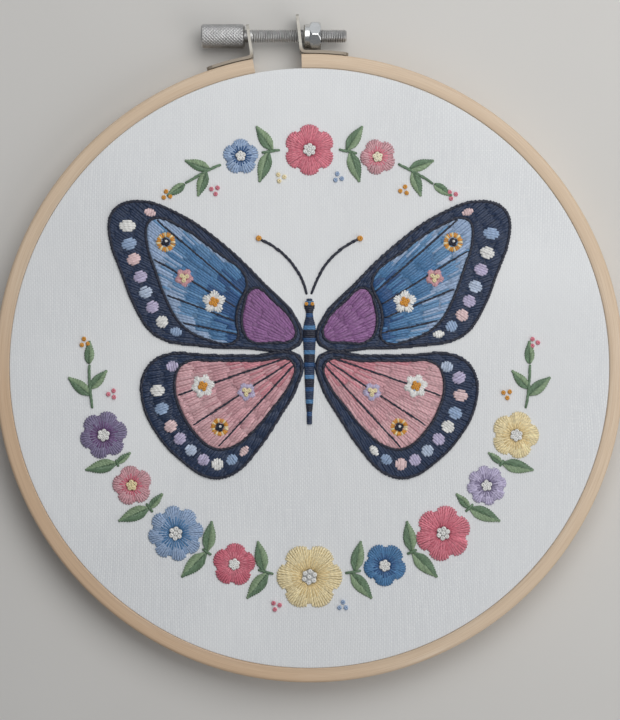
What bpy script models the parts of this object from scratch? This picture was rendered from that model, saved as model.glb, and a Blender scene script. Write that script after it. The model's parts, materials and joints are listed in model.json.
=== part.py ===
"""Hoop embroidery art: a stitched cloth stretched in a round two-ring wooden hoop with a thumbscrew.

Metres, +Z up. The hoop lies on its back with the stitched face up. The origin is at the bottom
centre of the whole part's box, so the rings' centre lies a little below it on the Y axis, because
the screw fitting stands out at the top of the picture, +Y.
"""

import math

import bmesh
import bpy
from mathutils import Matrix, Vector

MM = 0.001

# Clearance between pieces that touch
GAP = 0.3 * MM

# Rings: two flat wooden bands, one inside the other
HOOP_RADIUS = 80.0 * MM
BAND = 3.7 * MM
HOOP_HEIGHT = 9.5 * MM
INNER_HEIGHT = 8.0 * MM
EDGE_ROUND = 0.9 * MM
ROUND_STEPS = 2
RING_STEPS = 84
SHARP_DEG = 35.0

# The outer ring is cut open where the screw fitting sits, a little left of the top
GAP_START_DEG = 91.45
GAP_END_DEG = 100.4

# Cloth: one sheet, flat on top, turned down between the rings
CLOTH = 1.0 * MM
CLOTH_ROUND = 0.9 * MM
SKIRT_LIFT = 0.5 * MM

OUTER_BORE = HOOP_RADIUS - BAND
SKIRT_RADIUS = OUTER_BORE - GAP
INNER_RADIUS = SKIRT_RADIUS - CLOTH - GAP
CLOTH_UNDERSIDE = INNER_HEIGHT + GAP
CLOTH_TOP = CLOTH_UNDERSIDE + CLOTH

# Lugs: bent plates, a foot on the outer ring and an ear that the screw passes through
LUG_PLATE = 0.75 * MM
LUG_WIDTH = 7.2 * MM
LUG_CORNER = 1.6 * MM
FOOT_LENGTH = 12.0 * MM
EAR_HOLE_RADIUS = 2.25 * MM
BEND_RADIUS = 1.2 * MM
LEFT_EAR_LEAN_DEG = 9.0
LEFT_EAR_TOP = 7.8 * MM
RIGHT_EAR_LEAN_DEG = 6.5
RIGHT_EAR_TOP = 10.4 * MM

# Nails that hold the feet to the ring, their heads level with the plate
NAIL_SHANK_RADIUS = 0.7 * MM
NAIL_SHANK = 3.0 * MM
NAIL_HEAD_RADIUS = 1.3 * MM
NAIL_FROM_CUT = 9.0 * MM
HOLE_SIDES = 16

# Thumbscrew, along X beside the ring
SCREW_OUT = 5.0 * MM
SCREW_RADIUS = 1.7 * MM
SCREW_TIP_X = 9.5 * MM
HEAD_RADIUS = 3.1 * MM
HEAD_LEFT_X = -27.7 * MM
HEAD_RIGHT_X = -16.6 * MM
HEAD_CHAMFER = 0.45 * MM
TIP_CHAMFER = 0.4 * MM
SCREW_Z = HOOP_HEIGHT / 2
ROUND_SIDES = 36

# Nut: a round collar and a hexagon in one piece
COLLAR_RADIUS = 3.1 * MM
COLLAR_LENGTH = 1.5 * MM
HEX_FLATS = 6.8 * MM
HEX_CORNER_SHARE = 0.985
HEX_LENGTH = 2.85 * MM
HEX_CHAMFER_LENGTH = 0.65 * MM
NUT_LEFT_X = -1.45 * MM
NUT_BORE_RADIUS = SCREW_RADIUS + GAP

# Stitched areas stand on the cloth as low pads
PAD_THICKNESS = 0.7 * MM
PAD_GAP = 0.5 * MM
PAD_Z = CLOTH_TOP + GAP + PAD_THICKNESS / 2
PAD_CURVE_STEPS = 3

CENTRE_Y = -RIGHT_EAR_TOP / 2

# Butterfly, right half, in millimetres from the middle of the hoop before it is scaled and lifted
BUTTERFLY_SCALE = 0.95
BUTTERFLY_LIFT = 4.0
FOREWING = [
    (2.7, 2.2), (2.9, 7.5), (12.0, 18.0), (24.0, 29.5), (36.0, 37.5), (46.5, 40.5), (52.5, 38.0),
    (53.5, 31.5), (50.0, 21.0), (46.5, 12.0), (41.0, 4.5), (30.0, 2.0), (16.0, 1.3),
]
FOREWING_ROOT = [
    (4.2, 3.9), (4.4, 7.2), (10.5, 13.9), (14.6, 17.2), (17.2, 12.0), (17.6, 7.0), (15.8, 3.4),
    (9.5, 3.2),
]
FOREWING_FIELD = [
    (17.0, 19.2), (24.8, 26.2), (35.5, 33.6), (42.3, 35.4), (43.2, 30.5), (40.9, 22.5), (38.0, 14.6),
    (34.2, 8.0), (28.5, 4.4), (19.0, 3.8), (20.1, 7.4), (19.6, 12.6),
]
HINDWING = [
    (2.7, -1.0), (14.0, -1.0), (28.0, -0.8), (38.5, -0.6), (44.0, -5.0), (44.5, -13.5),
    (40.5, -22.0), (34.0, -29.0), (26.5, -33.5), (20.5, -32.5), (14.0, -26.0), (8.0, -17.0),
    (3.3, -8.5),
]
HINDWING_FIELD = [
    (4.3, -2.8), (14.0, -2.8), (26.5, -2.7), (33.6, -3.2), (35.6, -7.4), (34.4, -14.5),
    (30.4, -21.2), (25.4, -25.4), (21.0, -25.0), (15.4, -20.8), (9.9, -14.2), (5.2, -7.6),
]
BODY = [
    (0.0, 14.5), (1.5, 12.6), (1.0, 10.6), (1.8, 6.5), (1.6, 0.0), (1.3, -9.0), (0.8, -16.0),
    (0.0, -19.5),
]
ANTENNA = [(0.9, 15.6), (2.6, 20.0), (5.6, 24.6), (9.6, 28.2), (13.4, 30.2)]
ANTENNA_RADIUS = 0.35 * MM
ANTENNA_STEPS = 3

# Flowers, by angle and distance from the middle of the hoop, radius in millimetres
#   name, angle in degrees, distance, radius, petals, turn in degrees, colour
FLOWERS = [
    ("flower_bottom", 270, 53.0, 8.5, 6, 0, "yellow"),
    ("flower_bottom_left", 249, 53.5, 5.6, 5, 12, "rose"),
    ("flower_bottom_right", 291, 53.5, 5.6, 5, -20, "blue"),
    ("flower_low_left", 231, 54.0, 7.2, 8, 8, "periwinkle"),
    ("flower_low_right", 309, 54.0, 7.2, 6, 20, "coral"),
    ("flower_left", 213.5, 54.0, 5.2, 5, 30, "dusty_pink"),
    ("flower_right", 326.5, 54.0, 5.2, 8, 10, "lilac"),
    ("flower_high_left", 198, 55.0, 6.2, 6, 15, "plum_grey"),
    ("flower_high_right", 342, 55.0, 6.2, 5, 0, "yellow"),
    ("flower_top", 90, 55.5, 6.6, 6, 30, "coral"),
    ("flower_top_left", 108, 56.5, 4.7, 5, 18, "periwinkle"),
    ("flower_top_right", 72, 56.5, 4.7, 5, 40, "dusty_pink"),
]
PETAL_POINTS = 8
PETAL_DEPTH = 0.17

# Leafy twigs between the flowers, on the left half and mirrored on the right
#   name, stem from and to in degrees, distance, leaves as (share of the stem, lean, length)
#   A positive lean points away from the middle of the hoop, and no lean goes on from the stem's end.
TWIGS = [
    ("twig_bottom", 260.2, 255.6, 53.0, [(0.35, 62, 8.6), (0.6, -66, 8.0)]),
    ("twig_low", 242.4, 239.3, 53.5, [(0.5, 74, 9.2), (0.5, -70, 8.0)]),
    ("twig_mid", 222.7, 219.6, 54.0, [(0.5, 72, 8.6), (0.5, -84, 5.0)]),
    ("twig_high", 207.4, 205.2, 54.5, [(0.5, 76, 8.4), (0.5, -78, 4.4)]),
    ("twig_end", 190.6, 179.0, 56.0, [(0.3, 44, 7.4), (0.45, -48, 6.4), (1.0, 0, 6.0)]),
    ("twig_top", 97.6, 102.6, 56.0, [(0.4, 66, 7.6), (0.6, -62, 8.2)]),
    ("twig_top_end", 113.4, 124.0, 56.5, [(0.3, 46, 6.8), (0.4, -44, 6.8), (1.0, 0, 5.6)]),
]
STEM_HALF_WIDTH = 0.45
LEAF_FATNESS = 0.2
LEAF_POINTS = 5

COLOURS = {
    "wood": (0.66, 0.47, 0.29),
    "cloth": (0.78, 0.80, 0.80),
    "steel": (0.62, 0.61, 0.59),
    "navy": (0.025, 0.045, 0.11),
    "blue": (0.09, 0.22, 0.45),
    "purple": (0.29, 0.11, 0.33),
    "pink": (0.60, 0.32, 0.33),
    "yellow": (0.82, 0.63, 0.30),
    "rose": (0.64, 0.15, 0.22),
    "coral": (0.66, 0.17, 0.24),
    "periwinkle": (0.27, 0.40, 0.66),
    "dusty_pink": (0.64, 0.34, 0.38),
    "lilac": (0.56, 0.55, 0.68),
    "plum_grey": (0.25, 0.22, 0.38),
    "green": (0.12, 0.23, 0.11),
}


def collection(name):
    made = bpy.data.collections.new(name)
    bpy.context.scene.collection.children.link(made)
    return made


def material(name, colour, roughness, metallic=0.0):
    made = bpy.data.materials.new(name)
    made.use_nodes = True
    shader = made.node_tree.nodes["Principled BSDF"]
    shader.inputs["Base Color"].default_value = (*colour, 1.0)
    shader.inputs["Roughness"].default_value = roughness
    shader.inputs["Metallic"].default_value = metallic
    made.diffuse_color = (*colour, 1.0)
    return made


def add(name, data, finish, place=Matrix.Identity(4)):
    """Links an object of the part, with its material."""
    made = bpy.data.objects.new(name, data)
    made.matrix_world = place
    data.materials.append(finish)
    PART.objects.link(made)
    return made


def cutter(name, mesh, place):
    made = bpy.data.objects.new(name, mesh)
    made.matrix_world = place
    made.hide_render = True
    made.display_type = "WIRE"
    CUTTERS.objects.link(made)
    return made


def boolean(target, other, operation):
    made = target.modifiers.new(operation.title(), "BOOLEAN")
    made.operation = operation
    made.object = other


def smooth(mesh):
    mesh.shade_smooth()
    mesh.set_sharp_from_angle(angle=math.radians(SHARP_DEG))
    return mesh


def mesh_of(name, bm):
    bmesh.ops.recalc_face_normals(bm, faces=bm.faces[:])
    made = bpy.data.meshes.new(name)
    bm.to_mesh(made)
    bm.free()
    return smooth(made)


def on_hoop(radius, angle_deg, z=0.0):
    """A point at that radius and angle round the middle of the hoop."""
    a = math.radians(angle_deg)
    return Vector((radius * math.cos(a), CENTRE_Y + radius * math.sin(a), z))


def rounded_band(inner, outer, bottom, top, rounding):
    """Cross-section of a band as (radius, height) points, its four edges rounded."""
    corners = [
        (outer - rounding, top - rounding, 90),
        (inner + rounding, top - rounding, 180),
        (inner + rounding, bottom + rounding, 270),
        (outer - rounding, bottom + rounding, 360),
    ]
    points = []
    for r, z, end in corners:
        for step in range(ROUND_STEPS + 1):
            a = math.radians(end - 90 + 90 * step / ROUND_STEPS)
            points.append((r + rounding * math.cos(a), z + rounding * math.sin(a)))
    return points


def split_band(name, section, start_deg, sweep_deg):
    """A band swept round the hoop's middle, closed by a flat cut at each end."""
    bm = bmesh.new()
    a = math.radians(start_deg)
    ring = [bm.verts.new((r * math.cos(a), r * math.sin(a), z)) for r, z in section]
    face = bm.faces.new(ring)
    bmesh.ops.spin(
        bm,
        geom=[face, *face.edges, *face.verts],
        cent=(0, 0, 0),
        axis=(0, 0, 1),
        angle=math.radians(sweep_deg),
        steps=RING_STEPS,
        use_duplicate=False,
    )
    return mesh_of(name, bm)


def turned(name, profile, closed, steps, finish, place):
    """A profile of (radius, height) points turned about its Z axis by a Screw modifier.

    The modifier is applied, so that the turned faces can be shaded smooth up to their sharp edges.
    """
    mesh = bpy.data.meshes.new(name)
    edges = [(i, i + 1) for i in range(len(profile) - 1)]
    if closed:
        edges.append((len(profile) - 1, 0))
    mesh.from_pydata([(r, 0, z) for r, z in profile], edges, [])
    made = add(name, mesh, finish, place)
    turn = made.modifiers.new("Turn", "SCREW")
    turn.axis = "Z"
    turn.steps = turn.render_steps = steps
    turn.use_merge_vertices = True
    turn.merge_threshold = 0.00002
    graph = bpy.context.evaluated_depsgraph_get()
    made.data = smooth(bpy.data.meshes.new_from_object(made.evaluated_get(graph)))
    made.modifiers.clear()
    return made


def cylinder(name, radius, length, sides=ROUND_SIDES):
    bm = bmesh.new()
    bmesh.ops.create_cone(
        bm, cap_ends=True, segments=sides, radius1=radius, radius2=radius, depth=length
    )
    return mesh_of(name, bm)


def along_x(x, y, z):
    """Places a shape that was made along Z so that it lies along X."""
    return Matrix.Translation((x, y, z)) @ Matrix.Rotation(math.radians(90), 4, "Y")


def outer_ring():
    section = rounded_band(OUTER_BORE, HOOP_RADIUS, 0.0, HOOP_HEIGHT, EDGE_ROUND)
    sweep = 360 - (GAP_END_DEG - GAP_START_DEG)
    mesh = split_band("outer_ring", section, GAP_END_DEG, sweep)
    return add("outer_ring", mesh, WOOD, Matrix.Translation((0, CENTRE_Y, 0)))


def inner_ring():
    section = rounded_band(INNER_RADIUS - BAND, INNER_RADIUS, 0.0, INNER_HEIGHT, EDGE_ROUND)
    section.reverse()
    turned("inner_ring", section, True, RING_STEPS, WOOD, Matrix.Translation((0, CENTRE_Y, 0)))


def cloth():
    """The taut sheet: a flat face, a rounded rim and a skirt between the rings."""
    rim = []
    for step in range(ROUND_STEPS + 2):
        a = math.radians(90 - 90 * step / (ROUND_STEPS + 1))
        rim.append((
            SKIRT_RADIUS - CLOTH_ROUND + CLOTH_ROUND * math.cos(a),
            CLOTH_TOP - CLOTH_ROUND + CLOTH_ROUND * math.sin(a),
        ))
    profile = [
        (0.0, CLOTH_TOP),
        *rim,
        (SKIRT_RADIUS, SKIRT_LIFT),
        (SKIRT_RADIUS - CLOTH, SKIRT_LIFT),
        (SKIRT_RADIUS - CLOTH, CLOTH_UNDERSIDE),
        (0.0, CLOTH_UNDERSIDE),
    ]
    place = Matrix.Translation((0, CENTRE_Y, 0))
    turned("cloth", profile, False, RING_STEPS, CLOTH_WHITE, place)


def lug_path(cut_deg, side, lean_deg, top):
    """Middle line of a lug from the end of its foot, round the bend, to the tip of its ear.

    side is +1 for the lug whose foot runs anticlockwise from the cut, and -1 for the other.
    """
    radius = HOOP_RADIUS + GAP + LUG_PLATE / 2
    bend = side * math.degrees(BEND_RADIUS / radius)
    foot = side * math.degrees(FOOT_LENGTH / radius)
    foot_shares = (1.0, 0.94, 0.86, 0.6, 0.4, 0.2, 0.0)
    points = [on_hoop(radius, cut_deg + bend + (foot - bend) * t) for t in foot_shares]
    corner = on_hoop(radius, cut_deg)
    lean = math.radians(lean_deg)
    ear = Vector((-math.sin(lean), math.cos(lean), 0))
    start, end = points[-1], corner + ear * BEND_RADIUS
    for t in (0.25, 0.5, 0.75):
        points.append(start * (1 - t) ** 2 + corner * 2 * t * (1 - t) + end * t * t)
    tip_y = CENTRE_Y + HOOP_RADIUS + top - LUG_PLATE / 2 * math.sin(lean)
    rise = (tip_y - end.y) / ear.y
    return points + [end + ear * rise * t for t in (0.0, 0.4, 0.8, 0.93, 1.0)]


def plate_half_width(from_tip):
    """Half the lug's width, narrowed by the rounded corners at its two ends."""
    if from_tip >= LUG_CORNER:
        return LUG_WIDTH / 2
    return LUG_WIDTH / 2 - LUG_CORNER + math.sqrt(LUG_CORNER**2 - (LUG_CORNER - from_tip) ** 2)


def lug(name, cut_deg, side, lean_deg, top):
    """A strip of sheet metal bent along its path, with a hole in its ear for the screw."""
    path = lug_path(cut_deg, side, lean_deg, top)
    lengths = [0.0]
    for a, b in zip(path, path[1:]):
        lengths.append(lengths[-1] + (b - a).length)
    bm = bmesh.new()
    rows = []
    for point, length in zip(path, lengths):
        half = plate_half_width(min(length, lengths[-1] - length))
        rows.append([bm.verts.new((point.x, point.y, SCREW_Z + z)) for z in (-half, half)])
    for low, high in zip(rows, rows[1:]):
        bm.faces.new((low[0], low[1], high[1], high[0]))
    made = add(name, mesh_of(name, bm), STEEL)
    thickness = made.modifiers.new("Plate", "SOLIDIFY")
    thickness.thickness = LUG_PLATE
    thickness.offset = 0.0
    thickness.use_even_offset = True
    hole = cylinder(name + "_hole", EAR_HOLE_RADIUS, LUG_WIDTH, HOLE_SIDES)
    hole_place = along_x(path[-3].x, SCREW_Y, SCREW_Z)
    boolean(made, cutter(name + "_hole", hole, hole_place), "DIFFERENCE")
    return made


def nail_place(cut_deg, side):
    """The underside of a nail's head, level with the foot's: its local Z points out of the ring."""
    angle = cut_deg + side * math.degrees(NAIL_FROM_CUT / HOOP_RADIUS)
    turn = Matrix.Rotation(math.radians(angle), 4, "Z") @ Matrix.Rotation(math.radians(90), 4, "Y")
    return Matrix.Translation(on_hoop(HOOP_RADIUS + GAP, angle, SCREW_Z)) @ turn


def nail(name, cut_deg, side, ring, foot):
    """A nail whose head fills its hole in the lug's foot, and the hole for its shank in the ring."""
    place = nail_place(cut_deg, side)
    profile = [
        (0.0, LUG_PLATE),
        (NAIL_HEAD_RADIUS, LUG_PLATE),
        (NAIL_HEAD_RADIUS, 0.0),
        (NAIL_SHANK_RADIUS, 0.0),
        (NAIL_SHANK_RADIUS, -NAIL_SHANK),
        (0.0, -NAIL_SHANK),
    ]
    turned(name, profile, False, HOLE_SIDES, STEEL, place)
    shank_hole = cylinder(name + "_hole", NAIL_SHANK_RADIUS + GAP, 2 * (NAIL_SHANK + GAP), HOLE_SIDES)
    boolean(ring, cutter(name + "_hole", shank_hole, place), "DIFFERENCE")
    head_hole = cylinder(name + "_head_hole", NAIL_HEAD_RADIUS + GAP, 4 * LUG_PLATE, HOLE_SIDES)
    boolean(foot, cutter(name + "_head_hole", head_hole, place), "DIFFERENCE")


def thumbscrew():
    """Knurled head and threaded shank in one turned solid."""
    profile = [
        (0.0, SCREW_TIP_X),
        (SCREW_RADIUS - TIP_CHAMFER, SCREW_TIP_X),
        (SCREW_RADIUS, SCREW_TIP_X - TIP_CHAMFER),
        (SCREW_RADIUS, HEAD_RIGHT_X),
        (HEAD_RADIUS - HEAD_CHAMFER, HEAD_RIGHT_X),
        (HEAD_RADIUS, HEAD_RIGHT_X - HEAD_CHAMFER),
        (HEAD_RADIUS, HEAD_LEFT_X + HEAD_CHAMFER),
        (HEAD_RADIUS - HEAD_CHAMFER, HEAD_LEFT_X),
        (0.0, HEAD_LEFT_X),
    ]
    turned("thumbscrew", profile, False, ROUND_SIDES, STEEL, along_x(0, SCREW_Y, SCREW_Z))


def nut():
    """A turned collar and flange, its six flats cut by a bar with a corner on top."""
    corner = HEX_FLATS / math.sqrt(3)
    rim = corner * HEX_CORNER_SHARE
    length = COLLAR_LENGTH + HEX_LENGTH
    profile = [
        (NUT_BORE_RADIUS, length),
        (HEX_FLATS / 2, length),
        (rim, length - HEX_CHAMFER_LENGTH),
        (rim, COLLAR_LENGTH + HEX_CHAMFER_LENGTH),
        (HEX_FLATS / 2, COLLAR_LENGTH),
        (COLLAR_RADIUS, COLLAR_LENGTH),
        (COLLAR_RADIUS, 0.0),
        (NUT_BORE_RADIUS, 0.0),
    ]
    place = along_x(NUT_LEFT_X, SCREW_Y, SCREW_Z)
    made = turned("nut", profile, True, ROUND_SIDES, CHROME, place)
    bar = cylinder("nut_flats", corner, 3 * length, 6)
    bar.transform(Matrix.Rotation(math.radians(30), 4, "Z"))
    boolean(made, cutter("nut_flats", bar, place), "INTERSECT")


def pad(name, loops, finish, spline_type):
    """A low flat pad from closed outlines in millimetres round the middle of the hoop.

    The first loop is the outline and any others are holes.
    """
    curve = bpy.data.curves.new(name, "CURVE")
    curve.dimensions = "2D"
    curve.fill_mode = "BOTH"
    curve.extrude = PAD_THICKNESS / 2
    curve.resolution_u = PAD_CURVE_STEPS
    for loop in loops:
        spline = curve.splines.new(spline_type)
        spline.use_cyclic_u = True
        if spline_type == "BEZIER":
            spline.bezier_points.add(len(loop) - 1)
            for point, (x, y) in zip(spline.bezier_points, loop):
                point.co = (x * MM, y * MM, 0)
                point.handle_left_type = point.handle_right_type = "AUTO"
        else:
            spline.points.add(len(loop) - 1)
            for point, (x, y) in zip(spline.points, loop):
                point.co = (x * MM, y * MM, 0, 1)
    return add(name, curve, finish, Matrix.Translation((0, CENTRE_Y, PAD_Z)))


def butterfly_point(x, y, side):
    return side * x * BUTTERFLY_SCALE, y * BUTTERFLY_SCALE + BUTTERFLY_LIFT


def butterfly_loop(points, side, grow=0.0):
    """An outline of the butterfly placed on the cloth, moved outwards by grow millimetres."""
    placed = [Vector(butterfly_point(x, y, side)) for x, y in points]
    area = sum(a.x * b.y - b.x * a.y for a, b in zip(placed, placed[1:] + placed[:1]))
    turn = grow if area > 0 else -grow
    moved = []
    for i, here in enumerate(placed):
        along = (placed[(i + 1) % len(placed)] - placed[i - 1]).normalized()
        moved.append((here.x + along.y * turn, here.y - along.x * turn))
    return moved


def wings():
    hole = PAD_GAP / MM
    for side, word in ((-1, "left"), (1, "right")):
        root = butterfly_loop(FOREWING_ROOT, side)
        field = butterfly_loop(FOREWING_FIELD, side)
        holes = [butterfly_loop(p, side, hole) for p in (FOREWING_ROOT, FOREWING_FIELD)]
        pad(f"forewing_border_{word}", [butterfly_loop(FOREWING, side), *holes], NAVY, "BEZIER")
        pad(f"forewing_root_{word}", [root], PURPLE, "BEZIER")
        pad(f"forewing_field_{word}", [field], BLUE, "BEZIER")
        hind_hole = butterfly_loop(HINDWING_FIELD, side, hole)
        pad(f"hindwing_border_{word}", [butterfly_loop(HINDWING, side), hind_hole], NAVY, "BEZIER")
        pad(f"hindwing_field_{word}", [butterfly_loop(HINDWING_FIELD, side)], PINK, "BEZIER")


def body():
    right = [butterfly_point(x, y, 1) for x, y in BODY]
    left = [butterfly_point(x, y, -1) for x, y in BODY[-2:0:-1]]
    pad("butterfly_body", [right + left], NAVY, "BEZIER")


def antennae():
    for side, word in ((-1, "left"), (1, "right")):
        name = f"antenna_{word}"
        curve = bpy.data.curves.new(name, "CURVE")
        curve.dimensions = "3D"
        curve.bevel_depth = ANTENNA_RADIUS
        curve.bevel_resolution = 1
        curve.use_fill_caps = True
        curve.resolution_u = ANTENNA_STEPS
        spline = curve.splines.new("BEZIER")
        spline.bezier_points.add(len(ANTENNA) - 1)
        for point, place in zip(spline.bezier_points, ANTENNA):
            x, y = butterfly_point(*place, side)
            point.co = (x * MM, y * MM, 0)
            point.handle_left_type = point.handle_right_type = "AUTO"
        add(name, curve, NAVY, Matrix.Translation((0, CENTRE_Y, PAD_Z)))


def flower_loop(angle_deg, distance, radius, petals, turn_deg):
    """A flower seen from above: a circle whose rim swells once for each petal."""
    a = math.radians(angle_deg)
    cx, cy = distance * math.cos(a), distance * math.sin(a)
    points = []
    count = petals * PETAL_POINTS
    for i in range(count):
        t = 2 * math.pi * i / count
        swell = abs(math.cos(petals * t / 2)) ** 0.7
        r = radius * (1 - PETAL_DEPTH + PETAL_DEPTH * swell)
        around = t + math.radians(turn_deg)
        points.append((cx + r * math.cos(around), cy + r * math.sin(around)))
    return points


def leaf_outline(base, heading, length, side):
    """Points round a leaf, up its edge on that side of its heading and back down the other."""
    ahead = Vector((math.cos(heading), math.sin(heading)))
    across = Vector((-ahead.y, ahead.x)) * side * length * LEAF_FATNESS
    shares = [(i + 0.5) / LEAF_POINTS for i in range(LEAF_POINTS)]
    up = [base + ahead * length * t + across * math.sin(math.pi * t) for t in shares]
    down = [base + ahead * length * t - across * math.sin(math.pi * t) for t in reversed(shares)]
    return [*up, base + ahead * length, *down]


def twig_loop(start_deg, end_deg, distance, leaves):
    """Outline of a stem that follows the hoop, going round each of its leaves."""
    start = math.radians(start_deg)
    sweep = math.radians(end_deg - start_deg)
    quarter_turn = math.copysign(math.pi / 2, sweep)
    outer_side = -1 if sweep > 0 else 1
    base_share = STEM_HALF_WIDTH / (distance * abs(sweep))

    def heading(share):
        return start + sweep * share + quarter_turn

    def edge_point(share, side):
        a = start + sweep * share
        h = heading(share)
        across = Vector((-math.sin(h), math.cos(h))) * side * STEM_HALF_WIDTH
        return Vector((math.cos(a), math.sin(a))) * distance + across

    def one_side(side):
        points = [edge_point(0, side)]
        for share, lean, length in leaves:
            if lean * outer_side * side <= 0:
                continue
            leaf_heading = heading(share) + side * math.radians(abs(lean))
            points.append(edge_point(share - base_share, side))
            points += leaf_outline(edge_point(share, side), leaf_heading, length, side)
            points.append(edge_point(share + base_share, side))
        return points + [edge_point(1, side)]

    outline = one_side(1)
    for share, lean, length in leaves:
        if lean == 0:
            base = (edge_point(share, 1) + edge_point(share, -1)) / 2
            outline += leaf_outline(base, heading(share), length, 1)
    outline += reversed(one_side(-1))
    return [(p.x, p.y) for p in outline]


def garlands():
    for name, angle, distance, radius, petals, turn, colour in FLOWERS:
        loop = flower_loop(angle, distance, radius, petals, turn)
        pad(name, [loop], material("thread_" + name, COLOURS[colour], 0.75), "POLY")
    for name, start, end, distance, leaves in TWIGS:
        pad(name + "_left", [twig_loop(start, end, distance, leaves)], GREEN, "POLY")
        pad(name + "_right", [twig_loop(180 - start, 180 - end, distance, leaves)], GREEN, "POLY")


for old in list(bpy.data.objects):
    bpy.data.objects.remove(old, do_unlink=True)

PART = collection("hoop_embroidery_art")
CUTTERS = collection("cutters")
CUTTERS.hide_render = True

SCREW_Y = CENTRE_Y + HOOP_RADIUS + SCREW_OUT

WOOD = material("wood", COLOURS["wood"], 0.55)
CLOTH_WHITE = material("cloth", COLOURS["cloth"], 0.9)
STEEL = material("steel", COLOURS["steel"], 0.35, 1.0)
CHROME = material("nut_steel", COLOURS["steel"], 0.2, 1.0)
NAVY = material("thread_navy", COLOURS["navy"], 0.75)
BLUE = material("thread_blue", COLOURS["blue"], 0.75)
PURPLE = material("thread_purple", COLOURS["purple"], 0.75)
PINK = material("thread_pink", COLOURS["pink"], 0.75)
GREEN = material("thread_green", COLOURS["green"], 0.75)

ring = outer_ring()
inner_ring()
cloth()
left_lug = lug("lug_left", GAP_END_DEG, 1, LEFT_EAR_LEAN_DEG, LEFT_EAR_TOP)
right_lug = lug("lug_right", GAP_START_DEG, -1, RIGHT_EAR_LEAN_DEG, RIGHT_EAR_TOP)
nail("nail_left", GAP_END_DEG, 1, ring, left_lug)
nail("nail_right", GAP_START_DEG, -1, ring, right_lug)
thumbscrew()
nut()
wings()
body()
antennae()
garlands()
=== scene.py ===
"""Looks of the hoop embroidery: its wood, metal, cloth and every stitch, built round the solids.

Metres, in the solids' own frame: the hoop lies on its back, +Z up out of the stitched face and +Y
up the picture. A stitch is a raised strand that dips into the cloth at both ends. Stitches are laid
out in millimetres round the middle of the hoop, and each stitched area is one mesh.
"""

import json
import math
import random

import bpy
import numpy as np
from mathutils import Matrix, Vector, noise


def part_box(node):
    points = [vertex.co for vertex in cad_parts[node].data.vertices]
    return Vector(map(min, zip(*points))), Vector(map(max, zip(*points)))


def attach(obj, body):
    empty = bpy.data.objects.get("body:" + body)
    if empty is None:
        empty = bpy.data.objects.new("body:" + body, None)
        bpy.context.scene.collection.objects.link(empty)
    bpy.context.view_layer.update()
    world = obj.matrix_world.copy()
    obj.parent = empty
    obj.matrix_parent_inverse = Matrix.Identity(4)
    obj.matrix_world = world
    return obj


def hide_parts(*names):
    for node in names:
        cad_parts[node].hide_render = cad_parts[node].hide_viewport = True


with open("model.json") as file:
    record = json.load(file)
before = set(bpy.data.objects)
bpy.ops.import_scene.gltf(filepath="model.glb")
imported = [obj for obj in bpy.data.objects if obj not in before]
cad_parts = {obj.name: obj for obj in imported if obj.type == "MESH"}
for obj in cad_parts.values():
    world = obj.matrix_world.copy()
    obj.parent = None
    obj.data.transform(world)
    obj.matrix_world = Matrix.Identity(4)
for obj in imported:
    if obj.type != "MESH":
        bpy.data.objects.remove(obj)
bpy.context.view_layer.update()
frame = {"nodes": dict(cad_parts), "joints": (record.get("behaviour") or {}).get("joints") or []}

MM = 0.001
chance = random.Random(11)

# The hoop's middle and levels, from the solids
RING_LOW, RING_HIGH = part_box("outer_ring")
HOOP_RADIUS = (RING_HIGH.x - RING_LOW.x) / 2
CENTRE = np.array(((RING_LOW.x + RING_HIGH.x) / 2, RING_LOW.y + HOOP_RADIUS))
CLOTH_LOW, CLOTH_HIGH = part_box("cloth")
SKIRT_RADIUS = (CLOTH_HIGH.x - CLOTH_LOW.x) / 2
CLOTH_TOP = CLOTH_HIGH.z
INNER_LOW, INNER_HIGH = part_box("inner_ring")
INNER_RADIUS = (INNER_HIGH.x - INNER_LOW.x) / 2
HEAD_LOW, HEAD_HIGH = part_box("thumbscrew")
NUT_LOW, NUT_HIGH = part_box("nut")
SCREW_AXIS = Vector(frame["joints"][0]["pos_m"])

# Wood and cloth
GAP = 0.3 * MM
BAND = 3.7 * MM
WOOD_ROUND = 0.9 * MM
BORE_ROUND = 0.35 * MM
GRAIN_SEAM = 0.03 * MM
CLOTH = 1.0 * MM
CLOTH_ROUND = 0.28 * MM
CLOTH_SWELL = 0.28 * MM
CLOTH_RADIUS = SKIRT_RADIUS + CLOTH_SWELL
CLOTH_HUB = 0.4 * MM
FACE_STEP = 1.3 * MM
SKIRT_STEP = 1.5 * MM
UNDERSIDE_STEP = 2.6 * MM
WEAVE_PITCH = 0.56 * MM
THREAD_LEAN = 0.006

# The cloth's faint pucker: height, fade towards the rim, and how fine it is round and outward
PUCKER = 0.07 * MM
PUCKER_FADE = 8 * MM
PUCKER_ROUND = 7
PUCKER_OUT = 26

# Where the wood's painted shade, warmer and darker, starts and is deepest, in radii towards the lower
# left, x and y added
PAINTED_SHADE_STRETCH = (0.6, 1.05)
# How far the painted shade reaches in from the bore's edge, where the wood meets the cloth
BORE_PAINTED_SHADE = 1.5 * MM

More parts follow.
